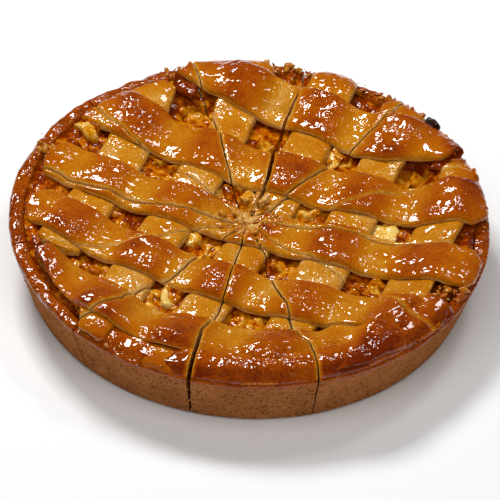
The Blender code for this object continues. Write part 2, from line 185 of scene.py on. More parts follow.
def at_roll(x, y, margin=0):
    """1 along the stretch of rim that stands free of the strips, at the back left."""
    angle = np.degrees(np.arctan2(y, x)) % 360
    first, last, soft = ROLL[0] - margin, ROLL[1] + margin, ROLL[2]
    return smooth_step(angle, first - soft, first) - smooth_step(angle, last, last + soft)


def centre_dip(radius):
    """How far the top is pressed down at a radius."""
    marks, falls = np.array(CENTRE_DIP, float).T * MM
    return np.interp(radius, marks, falls)


def strip_floor(x, y):
    """The height that a strip lies on: the filling, then the rim, lower inside the roll."""
    radius = np.hypot(x, y)
    rise = (WALL_HEIGHT + 0.5 * MM - FILLING_LEVEL) * (1 - 0.4 * at_roll(x, y))
    return FILLING_LEVEL + centre_dip(radius) + rise * straight_step(radius, 98 * MM, 121 * MM)


print("strips lie", round(float(strip_floor(0, 0)) / MM, 1), "mm up in the middle and",
      round(float(strip_floor(0.13, 0)) / MM, 1), "mm up on the rim")

# %% [markdown]
# ## Random lumps that stay the same
# Baked dough is never smooth: it has swells as wide as a thumb, dimples as wide as a pea
# and grains of two millimetres. One helper gives all three. It fills a small box with
# random numbers from a fixed seed and blends between them, so every run bakes the same pie.

# %% Make the lump helper
def lumps(points, size, seed):
    """Smooth random values from -1 to 1 at points, in lumps of about a size."""
    cells = 32
    table = np.random.default_rng(seed).uniform(-1, 1, (cells, cells, cells))
    turned = points @ np.array(((0.8, 0.6, 0.0), (-0.48, 0.64, 0.6), (0.36, -0.48, 0.8)))
    spot = turned / size + 7.3 * seed
    low = np.floor(spot).astype(int)
    part = spot - low
    part = part * part * (3 - 2 * part)
    total = np.zeros(len(points))
    for corner in range(8):
        step = np.array((corner & 1, corner >> 1 & 1, corner >> 2 & 1))
        weight = np.prod(np.where(step, part, 1 - part), axis=1)
        i, j, k = ((low + step) % cells).T
        total += weight * table[i, j, k]
    return total


def read_points(mesh):
    """The vertex positions of a mesh as an array."""
    flat = np.empty(len(mesh.vertices) * 3)
    mesh.vertices.foreach_get("co", flat)
    return flat.reshape(-1, 3)


def write_points(mesh, points):
    """Moves the vertices of a mesh."""
    mesh.vertices.foreach_set("co", points.ravel())
    mesh.update()


def write_shade(mesh, name, values):
    """Stores one number per vertex for the materials to read."""
    layer = mesh.attributes.get(name) or mesh.attributes.new(name, "FLOAT", "POINT")
    layer.data.foreach_set("value", np.asarray(values, float))


def read_shade(mesh, name):
    """Reads one number per vertex."""
    values = np.empty(len(mesh.vertices))
    mesh.attributes[name].data.foreach_get("value", values)
    return values


print("lumps of 5 mm at two spots", lumps(np.array(((0, 0, 0), (0.003, 0, 0))), 5 * MM, 1).round(2))

# %% [markdown]
# ## The paths of the strips
# Five strips run left to right and lie on top, and five run front to back under them. A
# baker lays them by hand, so each is given its own bending path through a few measured
# points, and its own width. A curve that passes through the points keeps the path smooth.

# %% Name the paths
# Each strip: its width, then points (x, y) on its middle line, in millimetres.
OVER_STRIPS = (
    (31, ((-52, 141), (-20, 121), (10, 105), (40, 91), (70, 78), (100, 72), (136, 67))),
    (34, ((-104, 97), (-80, 84), (-50, 69), (-20, 56), (10, 44), (40, 34), (70, 26), (100, 20), (142, 15))),
    (31, ((-121, 43), (-90, 30), (-60, 18), (-30, 7), (0, -3), (40, -16), (80, -26), (110, -34), (142, -41))),
    (30, ((-128, 4), (-100, -13), (-70, -30), (-40, -44), (-10, -56), (20, -65), (50, -72), (80, -77),
          (104, -86), (126, -93))),
    (33, ((-127, -51), (-100, -68), (-70, -86), (-40, -100), (-10, -106), (20, -110), (50, -110),
          (84, -106))),
)
# The same for the lower strips, with points (y, x), because they run front to back.
UNDER_STRIPS = (
    (25.5, ((-36, -112), (0, -96), (40, -81), (80, -69), (118, -60))),
    (25.5, ((-106, -88), (-60, -69), (-20, -53), (20, -38), (60, -24), (100, -12), (142, 1))),
    (25.5, ((-138, -51), (-90, -29), (-40, -8), (0, 7), (40, 22), (90, 38), (138, 51))),
    (25.5, ((-144, 5), (-90, 26), (-45, 42), (0, 57), (45, 72), (90, 86), (118, 94))),
    (25.5, ((-112, 74), (-70, 88), (-30, 100), (10, 113), (62, 130))),
)
# A strip crosses the axes at a slant, so a straight distance is a little shorter.
UNDER_LEAN = math.sin(math.radians(69))
OVER_LEAN = math.cos(math.radians(19))


def path_value(points, along):
    """The second coordinate of a smooth curve through points, at values of the first."""
    marks = np.array(points, float) * MM
    last = len(marks) - 1
    part = np.clip(np.searchsorted(marks[:, 0], along) - 1, 0, last - 1)
    start, end = marks[part], marks[part + 1]
    before, after = marks[np.maximum(part - 1, 0)], marks[np.minimum(part + 2, last)]
    start_slope = (end[..., 1] - before[..., 1]) / (end[..., 0] - before[..., 0])
    end_slope = (after[..., 1] - start[..., 1]) / (after[..., 0] - start[..., 0])
    span, climb = end[..., 0] - start[..., 0], end[..., 1] - start[..., 1]
    share = (along - start[..., 0]) / span
    inside = np.clip(share, 0, 1)
    start_bow = (1 - inside) * (start_slope * span - climb)
    end_bow = inside * (end_slope * span - climb)
    bow = inside * (1 - inside) * (start_bow - end_bow)
    past_end = np.where(share > 1, end_slope * (share - 1) * span, 0)
    beyond = np.where(share < 0, start_slope * share * span, past_end)
    return start[..., 1] + climb * inside + bow + beyond


def near_under(x, y):
    """Distance to the middle of the nearest lower strip."""
    gaps = [np.abs(x - path_value(points, y)) for _, points in UNDER_STRIPS]
    return np.min(gaps, axis=0) * UNDER_LEAN


def near_over(x, y):
    """Distance to the middle of the nearest upper strip."""
    gaps = [np.abs(y - path_value(points, x)) for _, points in OVER_STRIPS]
    return np.min(gaps, axis=0) * OVER_LEAN


def hump(x, y):
    """1 where an upper strip rides over a lower one, 0 where it sags into an opening."""
    return 1 - smooth_step(near_under(x, y), 5 * MM, 21.5 * MM)


print("hump over a crossing", round(float(hump(7 * MM, 0.0)), 2))
print("hump beside it", round(float(hump(30 * MM, -10 * MM)), 2))

# %% [markdown]
# ## One strip of dough
# A strip starts as a closed cylinder cut into rings, because that already has the closed
# skin that a strip needs. Its round section is pressed into a flat one with soft
# shoulders, then each ring is laid on the path. The height adds up what the baker's hand
# and the oven did: it lies on the filling, climbs over a crossing, puffs up there, thins
# towards the rim, and has lumps of three sizes.

# %% Shape a strip
AROUND = 56


def section_shape(width, thickness):
    """A flat section with soft shoulders, evenly spaced: across -1 to 1 and up 0 to 1."""
    turn = np.linspace(0, 2 * math.pi, 2000)
    across = np.sign(np.cos(turn)) * np.abs(np.cos(turn)) ** 0.42
    height = (np.sign(np.sin(turn)) * np.abs(np.sin(turn)) ** 0.62 + 1) / 2
    stride = np.hypot(np.diff(across) * width / 2, np.diff(height) * thickness)
    stride *= np.where(height[1:] < 0.2, 0.35, 1)
    walked = np.concatenate(((0,), np.cumsum(stride)))
    marks = np.linspace(0, walked[-1], AROUND + 1)[:-1]
    return np.interp(marks, walked, across), np.interp(marks, walked, height)


def ringed_tube(name, rings):
    """A closed tube of unit size along Z, with evenly spaced rings."""
    bm = bmesh.new()
    bmesh.ops.create_cone(bm, cap_ends=True, segments=AROUND, radius1=1, radius2=1, depth=1)
    sides = [e for e in bm.edges if abs(e.verts[0].co.z - e.verts[1].co.z) > 0.5]
    bmesh.ops.subdivide_edges(bm, edges=sides, cuts=rings - 1)
    bmesh.ops.recalc_face_normals(bm, faces=bm.faces)
    mesh = bpy.data.meshes.new(name)
    bm.to_mesh(mesh)
    bm.free()
    return mesh


# Openings from which the dough shrank back: x, y and how far, in millimetres.
SHRUNK = ((54, -96, 5), (-36, 90, 4), (96, 45, 3))
CLEARANCE = 1.2 * MM
CROSSING_LIFT = 3.6 * MM
PUFF = 0.8 * MM
FOLD_RADIUS = 129.4 * MM
FOLD_LENGTH = 128.7 * MM
RING_STEP = 1.25 * MM


def draw_back(points):
    """Draws the dough back from the openings where it shrank in the oven."""
    for gap_x, gap_y, shrink in SHRUNK:
        off = points[:, :2] - np.array((gap_x, gap_y)) * MM
        away = np.hypot(*off.T)
        push = shrink * MM * np.exp(-(away / (11 * MM)) ** 2) / np.maximum(away, 2 * MM)
        points[:, :2] += off * push[:, None]


def half_width(kind, x, y, across, width, tip, line, seed):
    """How far each point lies off the strip's middle line: uneven, narrower at its ends."""
    reach = across * width / 2 * (1 + 0.05 * lumps(line, 26 * MM, seed))
    frayed = lumps(line + across[:, None], 7 * MM, seed + 1)
    reach += np.sign(across) * np.abs(across) ** 3 * 0.5 * MM * frayed
    if kind != "fold":
        reach += 1.2 * MM * lumps(line, 38 * MM, seed + 2)
        free_end = at_roll(x, y, 12)
        reach *= 1 + (np.sqrt(np.clip(tip / (5 * MM), 0.02, 1)) - 1) * free_end
        left = 141.5 * MM - np.hypot(x, y)
        reach *= 1 + (np.clip(left / (9 * MM), 0.15, 1) ** 0.5 - 1) * (1 - free_end)
    return reach


def lie_down(kind, x, y, along, height):
    """Underside and thickness of the strip at each point, and how far it stands out."""
    level = strip_floor(x, y)
    thick = np.full_like(x, STRIP_THICKNESS)
    raised = np.zeros_like(x)
    if kind == "over":
        raised = hump(x, y)
        level = level + CLEARANCE + raised * (CROSSING_LIFT + PUFF * height)
    if kind == "under":
        tucked = 1 - smooth_step(near_over(x, y), 10 * MM, 20 * MM)
        level = level + (0.9 - 2.2 * tucked) * MM * height
        raised = -0.2 - 0.3 * tucked
    if kind == "fold":
        whole = straight_step(np.degrees(along), 251, 257)
        thick = thick * (0.45 + 0.55 * whole)
        level = level - 2.2 * MM * smooth_step(np.hypot(x, y), 133.5 * MM, 138.5 * MM)
        raised = 0.5 + 0.2 * whole
    return level, thick, raised


def roughen(points, height, broken, seed):
    """Gives the skin its swells and dimples, most of all in the broken middle."""
    skin = 0.5 * lumps(points, 15 * MM, seed + 3) + 0.22 * lumps(points, 6 * MM, seed + 4)
    skin += 0.09 * lumps(points, 2.4 * MM, seed + 5)
    skin += broken * (1.3 * lumps(points, 4 * MM, 97) + 0.5 * lumps(points, 1.8 * MM, 98))
    points[:, 2] += height * MM * skin
    shaken = np.stack((lumps(points, 5 * MM, seed + 6), lumps(points, 5 * MM, seed + 7)), axis=1)
    points[:, :2] += 0.2 * MM * shaken


def browning(kind, points, radius, height, raised, broken, seed):
    """How far each point is baked: what stands out and the rim brown first, sides stay pale."""
    rim = smooth_step(radius, 112 * MM, 137 * MM)
    bake = 0.30 + 0.42 * raised + 0.31 * rim + 0.16 * lumps(points, 19 * MM, seed + 8)
    bake += broken * (0.04 - 0.3 * lumps(points, 3 * MM, 99))
    baked_side = 1 if kind == "fold" else smooth_step(radius, 124 * MM, 133 * MM)
    return bake * np.maximum(smooth_step(height, 0.35, 0.95), baked_side)


def lay_strip(name, kind, path, first, last, width, seed):
    """A strip of dough laid on its path, with its browning stored for the material."""
    length = abs(last - first) * (1 if kind != "fold" else FOLD_LENGTH)
    mesh = ringed_tube(name, int(length / RING_STEP))
    start = read_points(mesh)
    across_marks, up_marks = section_shape(width, STRIP_THICKNESS)
    mark = np.round(np.arctan2(start[:, 1], start[:, 0]) / (2 * math.pi) * AROUND).astype(int) % AROUND
    across, height = across_marks[mark], up_marks[mark]
    share = start[:, 2] + 0.5
    along = first + (last - first) * share
    x, y = path(along)
    ahead_x, ahead_y = path(along + 0.5 * MM)
    run = np.hypot(ahead_x - x, ahead_y - y)
    side_x, side_y = -(ahead_y - y) / run, (ahead_x - x) / run
    line = np.stack((x, y, np.full_like(x, seed * 0.03)), axis=1)
    tip = np.minimum(share, 1 - share) * length
    reach = half_width(kind, x, y, across, width, tip, line, seed)
    x, y = x + side_x * reach, y + side_y * reach
    level, thick, raised = lie_down(kind, x, y, along, height)
    radius = np.hypot(x, y)
    level = level + height * thick * (1 + 0.1 * (1 - across ** 2))
    pressed = 3.6 * MM * straight_step(radius, 124 * MM, 139 * MM) ** 3
    level = level - height * thick / STRIP_THICKNESS * pressed
    points = np.stack((x, y, level), axis=1)
    broken = 1 - smooth_step(radius, 7 * MM, 24 * MM)
    roughen(points, height, broken, seed)
    draw_back(points)
    write_points(mesh, points)
    write_shade(mesh, "bake", browning(kind, points, radius, height, raised, broken, seed))
    write_shade(mesh, "top", height)
    return mesh


def reaches(points, swapped):
    """Where a strip starts and ends, past the rim unless it stops inside the roll."""
    ends = []
    for (along, off), way in ((points[0], -1), (points[-1], 1)):
        x, y = (off, along) if swapped else (along, off)
        ends.append((along + way * 8 * (1 - float(at_roll(np.array(x), np.array(y), 8)))) * MM)
    return ends


def over_path(points):
    """The way of an upper strip, from left to right."""
    return lambda x: (x, path_value(points, x))


def under_path(points):
    """The way of a lower strip, from front to back."""
    return lambda y: (path_value(points, y), y)


def fold_path(angle):
    """The way of the dough folded over the rim, by angle."""
    return FOLD_RADIUS * np.cos(angle), FOLD_RADIUS * np.sin(angle)


FOLD_REACH = (math.radians(230), math.radians(329))
FOLD_WIDTH = 19.5 * MM
strips = []
for row, (width, points) in enumerate(OVER_STRIPS):
    reach = reaches(points, False)
    strips.append(lay_strip(f"over_{row}", "over", over_path(points), *reach, width * MM, 10 + row))
for column, (width, points) in enumerate(UNDER_STRIPS):
    reach = reaches(points, True)
    wide = (width + 2) * MM
    strips.append(lay_strip(f"under_{column}", "under", under_path(points), *reach, wide, 40 + column))
strips.append(lay_strip("fold", "fold", fold_path, *FOLD_REACH, FOLD_WIDTH, 70))
print("strips", len(strips), "with", sum(len(mesh.vertices) for mesh in strips), "points")

# %% [markdown]
# ## The knife cuts
# Twelve cuts meet in the middle. A knife that is drawn through soft pastry wanders by a
# few millimetres, so each cut has a direction, a gap and a wandering line. To cut a mesh
# along a wavy line, everything is first pushed sideways until the line is straight, then
# split with a flat plane, then pushed back. The open ends are filled, and the skin just
# beside the cut is pulled down a little, as the blade does.

# %% Name the cuts
# Each cut: its direction in degrees, its gap near the middle and at the rim, then pairs of
# distance from the middle and how far the blade wandered there, in millimetres.
CUTS = (
    (-72.1, 1.1, 1.1, ((0, 0), (21, -0.7), (29, 1.3), (40, -0.7), (56, -1.6), (80, -0.4), (107, -1.9),
                       (117, 2.5), (140, 0.8))),
    (-38.2, 1.2, 1.0, ((0, 0), (19, -5), (36, -3.2), (55, -0.8), (72, -1.4), (107, -2.4), (123, -6),
                       (140, -1.6))),
    (-9.0, 0.8, 0.8, ((0, 0), (40, 1), (80, -1.5), (120, 0.8), (140, 0))),
    (21.2, 1.1, 1.0, ((0, 0), (30, -4), (60, -4.5), (77, -3.3), (98, -4.4), (120, 2), (140, -2.8))),
    (50.2, 0.9, 0.7, ((0, 0), (47, -2.5), (61, -2.1), (85, -2), (101, -1.5), (114, -3.5), (140, 0))),
    (77.7, 2.6, 0.7, ((0, 0), (22, -0.9), (38, -1.6), (71, 2), (100, 0.7), (113, -0.9), (140, 1.3))),
    (106.8, 1.1, 0.9, ((0, 0), (45, 1), (93, -1.8), (121, -0.3), (140, 0))),
    (135.9, 0.9, 0.8, ((0, 0), (35, -1), (63, 2), (87, 3.8), (107, 4.6), (120, 4.9), (140, 1.5))),
    (165.6, 1.1, 0.8, ((0, 0), (25, 4), (50, 8), (80, 6), (103, 5.5), (123, 1), (140, 2))),
    (196.4, 1.1, 0.9, ((0, 0), (32, 0.5), (63, 5), (81, 6.5), (102, 3.7), (117, -2), (140, -3))),
    (228.2, 1.0, 1.3, ((0, 0), (28, -1), (48, 1.8), (70, 4.5), (80, 0), (95, -0.6), (110, 2), (140, -3))),
    (258.5, 1.0, 2.6, ((0, 0), (34, 0.7), (68, 2), (87, 1.1), (102, -2), (120, -1.5), (140, -1.1))),
)


def cut_direction(number):
    """Direction of a cut and the direction square to it, anticlockwise."""
    angle = math.radians(CUTS[number][0])
    return np.array((math.cos(angle), math.sin(angle))), np.array((-math.sin(angle), math.cos(angle)))


def cut_shift(points, number, side):
    """How far the blade's line lies off straight beside each point, on one side of the gap."""
    direction, square = cut_direction(number)
    _, near_gap, far_gap, marks = CUTS[number]
    along = points[:, :2] @ direction
    wander = path_value(marks, np.clip(along, 0, 145 * MM))
    flat = np.stack((along, np.full_like(along, number * 0.1), points[:, 2] * 0.6), axis=1)
    wander = wander + 0.35 * MM * lumps(flat, 5 * MM, 90) * straight_step(along, 0, 15 * MM)
    gap = near_gap + (far_gap - near_gap) * smooth_step(along, 70 * MM, 135 * MM)
    gap *= 0.55 + 0.45 * smooth_step(points[:, 2], 4 * MM, 38 * MM)
    return (wander + side * gap * MM / 2)[:, None] * square


def halve(mesh, number, side, pull):
    """Keeps what lies on one side of a wandering cut, and closes it."""
    points = read_points(mesh)
    points[:, :2] -= cut_shift(points, number, side)
    write_points(mesh, points)
    bm = bmesh.new()
    bm.from_mesh(mesh)
    square = cut_direction(number)[1]
    bmesh.ops.bisect_plane(
        bm, geom=bm.verts[:] + bm.edges[:] + bm.faces[:], dist=0.002 * MM,
        plane_co=(0, 0, 0), plane_no=(square[0] * -side, square[1] * -side, 0), clear_outer=True)
    rims = [e for e in bm.edges if e.is_boundary]
    filled = bmesh.ops.holes_fill(bm, edges=rims, sides=0)["faces"]
    filled = bmesh.ops.triangulate(bm, faces=filled)["faces"]
    for face in filled:
        face.material_index = 1
        for edge in face.edges:
            edge.smooth = False
    bm.to_mesh(mesh)
    bm.free()
    points = read_points(mesh)
    if pull and len(points):
        beside = np.clip(1 - np.abs(points[:, :2] @ square) / (2 * MM), 0, 1)
        points[:, 2] -= pull * beside ** 2 * smooth_step(read_shade(mesh, "top"), 0.4, 0.8)
        points[:, 2] += 0.45 * MM * beside * lumps(points, 2.2 * MM, 95)
        write_shade(mesh, "bake", read_shade(mesh, "bake") * (1 - 0.85 * beside))
    if len(points):
        points[:, :2] += cut_shift(points, number, side)
        write_points(mesh, points)


def in_slice(points, number, margin):
    """Which points lie between a cut and the next, or within a margin of them."""
    first, last = math.radians(CUTS[number][0]), math.radians(CUTS[(number + 1) % SLICES][0])
    middle = first + ((last - first) % (2 * math.pi)) / 2
    half = ((last - first) % (2 * math.pi)) / 2
    off = (np.arctan2(points[:, 1], points[:, 0]) - middle + math.pi) % (2 * math.pi) - math.pi
    return np.hypot(points[:, 0], points[:, 1]) * np.sin(np.clip(np.abs(off) - half, -1, 1)) < margin


def slice_of(source, number, pull=0.0):
    """The part of a whole layer that belongs to one slice, or None if there is none."""
    points = read_points(source)
    if not in_slice(points, number, 9 * MM).any():
        return None
    mesh = source.copy()
    halve(mesh, number, 1, pull)
    if len(mesh.polygons):
        halve(mesh, (number + 1) % SLICES, -1, pull)
    return mesh if len(mesh.polygons) else None


print("widest gap", max(max(near, far) for _, near, far, _ in CUTS), "mm")

# %% [markdown]
# ## Trim the strips to the rim
# Before baking, the strips are pressed onto the rim and trimmed. At the back left they end
# inside a roll of dough that stands free; elsewhere they reach the outer edge. Points
# beyond that outline are drawn in to it and rounded down, like dough under a thumb.

# %% Trim and join the strips of each slice
def trim_to_rim(mesh):
    """Draws what hangs over the outline back to it and rounds it down."""
    points = read_points(mesh)
    x, y = points[:, 0], points[:, 1]
    radius = np.hypot(x, y)
    angle = np.arctan2(y, x)
    ragged = np.stack((np.cos(angle), np.sin(angle), np.zeros_like(x)), axis=1) * 0.14
    tatters = lumps(ragged, 7 * MM, 80) + lumps(ragged, 2.5 * MM, 81)
    limit = TRIM + at_roll(x, y, ROLL[2]) * (TRIM_AT_ROLL - TRIM) + 0.6 * MM * tatters
    over = np.maximum(radius - limit, 0)
    drawn = limit + 0.7 * MM * (1 - np.exp(-over / (1.5 * MM))) - 1.1 * np.maximum(over - 1.5 * MM, 0)
    scale = np.where(over > 0, drawn / np.maximum(radius, 1e-6), 1)
    points[:, :2] *= scale[:, None]
    top = read_shade(mesh, "top")
    rounded = top * 2 * MM * (1 - np.exp(-over / (2 * MM)))
    tucked_in = (1 + 5 * top) * MM * smooth_step(over, 1 * MM, 7 * MM)
    points[:, 2] -= rounded + tucked_in
    if mesh.name != "fold":
        # Between these angles the fold covers the ends, so they are tucked lower.
        turned = np.degrees(angle) % 360
        covered = smooth_step(turned, 236, 246) - smooth_step(turned, 322, 330)
        points[:, 2] -= covered * (1 + 3 * top) * MM * smooth_step(radius, 115 * MM, 123 * MM)
    write_points(mesh, points)


def join_meshes(name, meshes):
    """One mesh of several, kept closed each on its own."""
    bm = bmesh.new()
    for mesh in meshes:
        bm.from_mesh(mesh)
    joined = bpy.data.meshes.new(name)
    bm.to_mesh(joined)
    bm.free()
    return joined


def smooth_faces(mesh):
    """Smooth shading; the edges that halve() marked stay sharp."""
    mesh.polygons.foreach_set("use_smooth", np.ones(len(mesh.polygons), bool))


# The slices were set down unevenly: how much higher or lower each one is, in millimetres.
SLICE_LIFT = (0.3, -0.4, 0.2, -0.5, 0.4, -0.2, 0.1, 0.5, -0.3, 0.3, -0.4, 0.1)
BLADE_PULL = 1.1 * MM
for mesh in strips:
    trim_to_rim(mesh)
slice_strips = []
for number in range(SLICES):
    cut = [slice_of(mesh, number, BLADE_PULL) for mesh in strips]
    joined = join_meshes(f"strips_{number + 1:02d}", [mesh for mesh in cut if mesh])
    points = read_points(joined)
    points[:, 2] += SLICE_LIFT[number] * MM
    write_points(joined, points)
    slice_strips.append(joined)
print("faces of strips", sum(len(mesh.polygons) for mesh in slice_strips))

# %% [markdown]
# ## The crust
# The case is round, so its section is drawn once and spun round the middle. The wall
# leans, its foot is rounded, and its top edge is uneven. The stretch at the back left is
# rolled up higher than the rest. Each slice then gets its own piece with the same cuts.

# %% Spin the crust
def spun(name, profile, steps):
    """A closed round body spun from points (radius, height), both ends on the axis."""
    bm = bmesh.new()
    verts = [bm.verts.new((radius, 0, height)) for radius, height in profile]
    edges = [bm.edges.new(pair) for pair in zip(verts, verts[1:])]
    bmesh.ops.spin(
        bm, geom=verts + edges, cent=(0, 0, 0), axis=(0, 0, 1), angle=2 * math.pi,
        steps=steps, use_merge=True)
    bmesh.ops.remove_doubles(bm, verts=bm.verts, dist=0.01 * MM)
    bmesh.ops.recalc_face_normals(bm, faces=bm.faces)
    mesh = bpy.data.meshes.new(name)
    bm.to_mesh(mesh)
    bm.free()
    return mesh


def between(start, end, count):
    """Evenly spaced points from one to another, without the last."""
    first, way = np.array(start), np.array(end) - np.array(start)
    return [tuple(first + way * step / count) for step in range(count)]


CRUST_STEPS = 420
EDGE_STEPS = 12
EDGE_MIDDLE, EDGE_HALF = 135.5 * MM, 4.5 * MM
inner_top = RIM_RADIUS - WALL_THICKNESS
inner_foot = BASE_RADIUS - WALL_THICKNESS
crust_profile = between((0, BASE_THICKNESS), (inner_foot - 2 * MM, BASE_THICKNESS), 6)
crust_profile += between((inner_foot, 9 * MM), (inner_top - 0.4 * MM, WALL_HEIGHT - 2.5 * MM), 8)
for step in range(EDGE_STEPS + 1):
    turn_angle = math.pi - math.pi * step / EDGE_STEPS
    edge_radius = EDGE_MIDDLE + EDGE_HALF * math.cos(turn_angle)
    crust_profile.append((edge_radius, WALL_HEIGHT - 2 * MM + 2 * MM * math.sin(turn_angle)))
wall_top = (RIM_RADIUS - 0.4 * MM, WALL_HEIGHT - 3.2 * MM)
crust_profile += between(wall_top, (BASE_RADIUS + 0.8 * MM, 3.2 * MM), 26)
crust_profile += [(BASE_RADIUS + 0.3 * MM, 2.2 * MM), (BASE_RADIUS - 0.5 * MM, 1 * MM)]
crust_profile += [(BASE_RADIUS - 2 * MM, 0.25 * MM)]
crust_profile += between((BASE_RADIUS - 4 * MM, 0), (0, 0), 3) + [(0, 0)]
crust_whole = spun("crust", crust_profile, CRUST_STEPS)
points = read_points(crust_whole)
x, y, z = points.T
radius = np.hypot(x, y)
wall_lean = RIM_RADIUS - BASE_RADIUS
outside = smooth_step(radius - (BASE_RADIUS + wall_lean * z / WALL_HEIGHT), -5 * MM, -1 * MM)
high = smooth_step(z, WALL_HEIGHT - 3.5 * MM, WALL_HEIGHT - 0.5 * MM)
rolled = at_roll(x, y)
rim_lump = lumps(points, 7 * MM, 5)
angle = np.degrees(np.arctan2(y, x))
back = smooth_step(angle, 15, 30) * (1 - smooth_step(angle, 108, 116))
points[:, 2] += high * (rolled * (ROLL_RISE + 1.5 * MM * rim_lump) - 0.9 * MM * np.abs(rim_lump))
points[:, 2] += high * (0.4 + 0.9 * back) * MM * lumps(points, 2.6 * MM, 6) + high * back * 1.6 * MM
wall_swell = 0.45 * lumps(points, 24 * MM, 7) + 0.15 * lumps(points, 5 * MM, 8) + high * 0.35 * rim_lump
grow = 1 + outside * smooth_step(z, 0.5 * MM, 4 * MM) * wall_swell * MM / np.maximum(radius, MM)
points[:, :2] *= grow[:, None]
write_points(crust_whole, points)
drips = 1.6 * rim_lump + 1.2 * lumps(points, 3 * MM, 9)
glazed = smooth_step(z + drips * MM, WALL_HEIGHT - 4.2 * MM, WALL_HEIGHT - 2.8 * MM)
write_shade(crust_whole, "glazed", glazed)
write_shade(crust_whole, "top", np.zeros(len(points)))
slice_crusts = [slice_of(crust_whole, number) for number in range(SLICES)]
print("faces of crust", sum(len(mesh.polygons) for mesh in slice_crusts))

# %% [markdown]
# ## The syrup
# Through the openings one sees diced apple in a thick syrup. The syrup is one lumpy body
# that fills the case, spun like the crust. In four places it has sunk, and there the photo
# shows a dark hole under the strips.

# %% Spin the syrup
def filling_top(radius):
    """Height of the syrup at a radius."""
    rise = (WALL_HEIGHT - FILLING_LEVEL) * straight_step(radius, 103 * MM, 126 * MM)
    return FILLING_LEVEL + centre_dip(radius) - 0.5 * MM + rise


# Sunken places: x, y, half width and depth, in millimetres.
HOLES = ((-37, 99, 7, 11), (54, -89, 9, 10), (96, 54, 9, 7), (26, 122, 5, 6))
SYRUP_STEPS = 380
RING_WIDTH = 1.25 * MM
syrup_foot = 6.4 * MM
syrup_profile = [(ring * RING_WIDTH, filling_top(ring * RING_WIDTH)) for ring in range(101)]
syrup_profile += between((130.8 * MM, 37.6 * MM), (121.4 * MM, 9.3 * MM), 8)
syrup_profile += [(118 * MM, syrup_foot), (60 * MM, syrup_foot), (0, syrup_foot)]
syrup_whole = spun("syrup", syrup_profile, SYRUP_STEPS)
points = read_points(syrup_whole)
radius = np.hypot(points[:, 0], points[:, 1])
surface = smooth_step(points[:, 2], 22 * MM, 26 * MM) * smooth_step(131.5 * MM - radius, 0, 1 * MM)
edge = smooth_step(radius, 112 * MM, 124 * MM) * (1 - 1.6 * at_roll(points[:, 0], points[:, 1]))
points[:, 2] += surface * edge * MM * (1.2 + 1.6 * lumps(points, 4.5 * MM, 25))
swells = 1.1 * lumps(points, 9 * MM, 21) + 0.6 * lumps(points, 4 * MM, 22)
points[:, 2] += surface * MM * (swells + 0.2 * lumps(points, 1.8 * MM, 23) + 0.9)
for x, y, wide, deep in HOLES:
    away = np.hypot(points[:, 0] - x * MM, points[:, 1] - y * MM) / (wide * MM)
    points[:, 2] -= surface * deep * MM * np.exp(-away ** 4)
write_points(syrup_whole, points)
pale = 0.22 + 0.34 * lumps(points, 7 * MM, 24) - 0.12 * smooth_step(radius, 108 * MM, 118 * MM)
write_shade(syrup_whole, "pale", pale)
write_shade(syrup_whole, "top", np.zeros(len(points)))
print("syrup has", len(points), "points")


# %% [markdown]
# ## The apple dice
# Each dice is a cube that is bevelled, divided and pushed about until it looks cooked. A
# handful lie in every opening. The openings are found where the middle lines of the
# neighbouring strips cross halfway. The larger pieces that the eye finds first are placed
# one by one.

# %% Dice the apple
def openings():
    """Centre of each opening between strips."""
    found = []
    for row in range(-1, len(OVER_STRIPS)):
        for column in range(-1, len(UNDER_STRIPS)):
            x = y = 0.0
            for _ in range(12):
                y = (over_y(row, x) + over_y(row + 1, x)) / 2
                x = (under_x(column, y) + under_x(column + 1, y)) / 2
            if 16 * MM < math.hypot(x, y) < 122 * MM:
                found.append((x, y))
    return found


def over_y(row, x):
    """Middle of an upper strip at x; one row outside stands for the edge."""
    nearest = min(max(row, 0), len(OVER_STRIPS) - 1)
    return float(path_value(OVER_STRIPS[nearest][1], np.array(x))) + (nearest - row) * 50 * MM


def under_x(column, y):
    """Middle of a lower strip at y; one column outside stands for the edge."""
    nearest = min(max(column, 0), len(UNDER_STRIPS) - 1)
    return float(path_value(UNDER_STRIPS[nearest][1], np.array(y))) + (column - nearest) * 46 * MM


DICE_IN_OPENING = 7
DICE_SPREAD = 11.5 * MM
HOLE_REACH = 13 * MM
HOLE_SINK = 5 * MM
FULL_TURN = 6.28
# The large pieces: x, y, length, width, depth and rise in millimetres, turn in degrees, and
# how pale from 0 to 1.
OPEN_CHUNKS = (
    (79, -1, 17, 13, 9, 4.2, -18, 1.0),
    (-45, -66, 5.5, 14, 8, 4.6, 20, 1.0),
    (-51, -62, 9, 7, 7, 2.8, -30, 0.55),
    (-99, 69, 7, 14, 9, 4.4, 35, 0.8),
    (-113, 34, 9, 6, 7, 4.0, -50, 0.9),
    (-20, -22, 12, 8, 8, 3.0, 10, 0.5),
    (46, 62, 11, 12, 8, 3.2, 30, 0.75),
    (-36, 96, 9, 14, 7, 1.5, 60, 0.45),
)
draw = np.random.default_rng(12)


def soft_cube():
    """A cube of unit size with rounded edges, fine enough to be pushed about."""
    bm = bmesh.new()
    bmesh.ops.create_cube(bm, size=1)
    bmesh.ops.bevel(bm, geom=bm.edges[:], offset=0.22, segments=2, profile=0.5, affect="EDGES", material=-1)
    long = [edge for edge in bm.edges if edge.calc_length() > 0.3]
    bmesh.ops.subdivide_edges(bm, edges=long, cuts=3, use_grid_fill=True)
    mesh = bpy.data.meshes.new("soft_cube")
    bm.to_mesh(mesh)
    bm.free()
    return mesh


cube = soft_cube()


